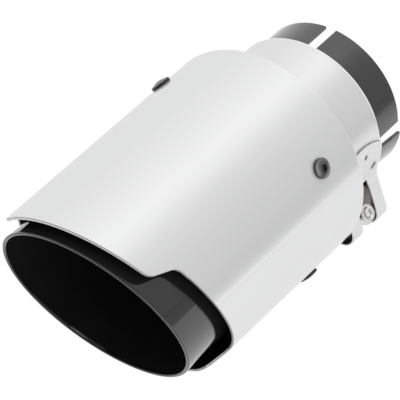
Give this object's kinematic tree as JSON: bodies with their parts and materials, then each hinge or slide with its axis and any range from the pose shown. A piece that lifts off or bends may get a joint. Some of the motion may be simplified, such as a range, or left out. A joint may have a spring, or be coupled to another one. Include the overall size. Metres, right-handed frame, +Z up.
{
  "type": "exhaust tip",
  "caption": "Double-walled slash-cut exhaust tip: a polished sleeve screwed over a flared inner tip, with a slotted inlet closed by a band clamp.",
  "frame": {"origin": "centre of the inlet pipe's rear rim", "axes": "+Y along the tip's axis, out of the inlet towards the car's pipe; -Y out of the mouth; +Z up, on the side where the slanted mouth reaches furthest; +X right as seen from the car"},
  "size_m": [0.098, 0.1852, 0.098],
  "materials": {
    "polished_steel": "soft mirror polish, as rolled sheet",
    "tip_steel": "gloss black coat, inside and out",
    "plain_steel": "dark gloss coat",
    "band_steel": "bright rolled strip",
    "dark_fastener": "black oxide",
    "bright_bolt": "bright zinc"
  },
  "bodies": {
    "root": {"outer_sleeve": "polished_steel", "inner_tip": "tip_steel", "reducer_cone": "plain_steel", "inlet_pipe": "plain_steel", "clamp_band": "band_steel", "clamp_liner": "band_steel", "clamp_head_pin": "dark_fastener", "clamp_nut_pin": "dark_fastener", "clamp_bolt": "bright_bolt", "sleeve_boss_upper_right": "plain_steel", "sleeve_boss_lower_right": "plain_steel", "sleeve_boss_lower_left": "plain_steel", "sleeve_boss_upper_left": "plain_steel", "sleeve_screw_upper_right": "dark_fastener", "sleeve_screw_lower_right": "dark_fastener", "sleeve_screw_lower_left": "dark_fastener", "sleeve_screw_upper_left": "dark_fastener"}
  },
  "joints": []
}
